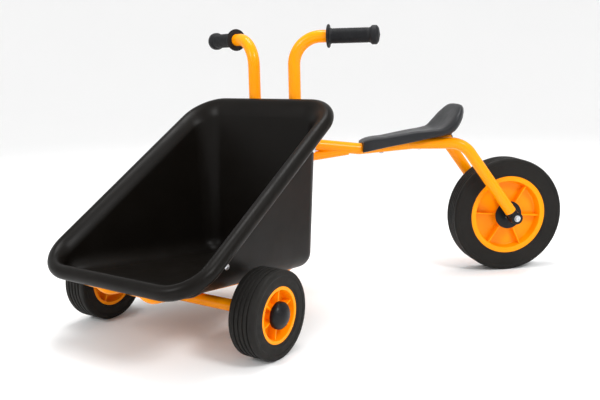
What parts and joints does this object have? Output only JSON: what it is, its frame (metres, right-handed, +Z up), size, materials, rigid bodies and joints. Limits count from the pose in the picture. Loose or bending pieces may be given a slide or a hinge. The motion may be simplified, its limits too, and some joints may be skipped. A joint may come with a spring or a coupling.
{
  "type": "push tricycle with load tub",
  "caption": "Push tricycle with a scoop-shaped load tub steered by upright handlebars, a long saddle and a rear wheel in a bent-tube fork.",
  "frame": {"origin": "on the floor under the middle of the whole object at rest, with the front frame turned left", "axes": "+Z up, rear frame points along -Y, +X to the left of the rider"},
  "size_m": [0.7258, 1.2386, 0.624],
  "materials": {
    "powder_coat": "glossy orange-yellow powder coat on steel tube",
    "tub_polyethylene": "satin black rotomoulded polyethylene",
    "saddle_plastic": "fine-grained dark grey moulded plastic",
    "grip_rubber": "ribbed black rubber",
    "solid_rubber_tyre": "solid black rubber with grooved tread",
    "wheel_plastic": "orange-yellow injection-moulded polypropylene",
    "black_nylon": "black moulded nylon",
    "bush_nylon": "natural nylon bearing bush",
    "bearing_steel": "ground bearing steel",
    "zinc_steel": "bright zinc-plated steel"
  },
  "bodies": {
    "rear_frame": {"head_tube": "powder_coat", "main_tube": "powder_coat", "main_tube_plug": "black_nylon", "brace_tube": "powder_coat", "left_fork_tube": "powder_coat", "right_fork_tube": "powder_coat", "left_fork_insert": "black_nylon", "right_fork_insert": "black_nylon", "upper_head_bush": "bush_nylon", "lower_head_bush": "bush_nylon", "saddle": "saddle_plastic", "saddle_bolts": "zinc_steel", "rear_axle_bolt": "zinc_steel", "rear_axle_nut": "zinc_steel", "rear_axle_washers": "zinc_steel", "rear_axle_spacers": "zinc_steel", "rear_bearing_inners": "bearing_steel", "rear_bearing_spacers": "zinc_steel"},
    "front_frame": {"left_handlebar_tube": "powder_coat", "right_handlebar_tube": "powder_coat", "left_nose_plug": "black_nylon", "right_nose_plug": "black_nylon", "left_grip": "grip_rubber", "right_grip": "grip_rubber", "upper_cross_plate": "powder_coat", "lower_cross_plate": "powder_coat", "stop_pins": "powder_coat", "steering_bolt": "zinc_steel", "steering_nut": "zinc_steel", "steering_washers": "zinc_steel", "axle_tube": "powder_coat", "axle_rod": "zinc_steel", "axle_retainers": "zinc_steel", "front_axle_spacers": "zinc_steel", "front_bearing_inners": "bearing_steel", "front_bearing_spacers": "zinc_steel", "tub": "tub_polyethylene", "floor_bolts": "zinc_steel", "floor_nuts": "zinc_steel", "floor_washers": "zinc_steel", "rim_screws": "zinc_steel"},
    "rear_wheel": {"rear_tyre": "solid_rubber_tyre", "rear_rim": "wheel_plastic", "rear_hub_cover": "black_nylon", "rear_bearing_outers": "bearing_steel", "rear_bearing_balls": "bearing_steel"},
    "left_front_wheel": {"left_front_tyre": "solid_rubber_tyre", "left_front_rim": "wheel_plastic", "left_front_hub_cover": "black_nylon", "left_hubcap": "black_nylon", "left_front_bearing_outers": "bearing_steel", "left_front_bearing_balls": "bearing_steel"},
    "right_front_wheel": {"right_front_tyre": "solid_rubber_tyre", "right_front_rim": "wheel_plastic", "right_front_hub_cover": "black_nylon", "right_hubcap": "black_nylon", "right_front_bearing_outers": "bearing_steel", "right_front_bearing_balls": "bearing_steel"}
  },
  "joints": [
    {"name": "steering", "type": "hinge", "parent": "rear_frame", "child": "front_frame", "pos_m": [-0.18226, -0.08371, 0.29], "axis": [0, 0, 1], "range_deg": [-96, 4]},
    {"name": "rear_wheel_spin", "type": "hinge", "parent": "rear_frame", "child": "rear_wheel", "pos_m": [-0.18226, 0.47429, 0.145], "axis": [1, 0, 0], "continuous": true},
    {"name": "left_front_wheel_spin", "type": "hinge", "parent": "front_frame", "child": "left_front_wheel", "pos_m": [0.26614, -0.20672, 0.085], "axis": [0.6947, 0.7193, 0], "continuous": true},
    {"name": "right_front_wheel_spin", "type": "hinge", "parent": "front_frame", "child": "right_front_wheel", "pos_m": [-0.04368, -0.52754, 0.085], "axis": [0.6947, 0.7193, 0], "continuous": true}
  ]
}
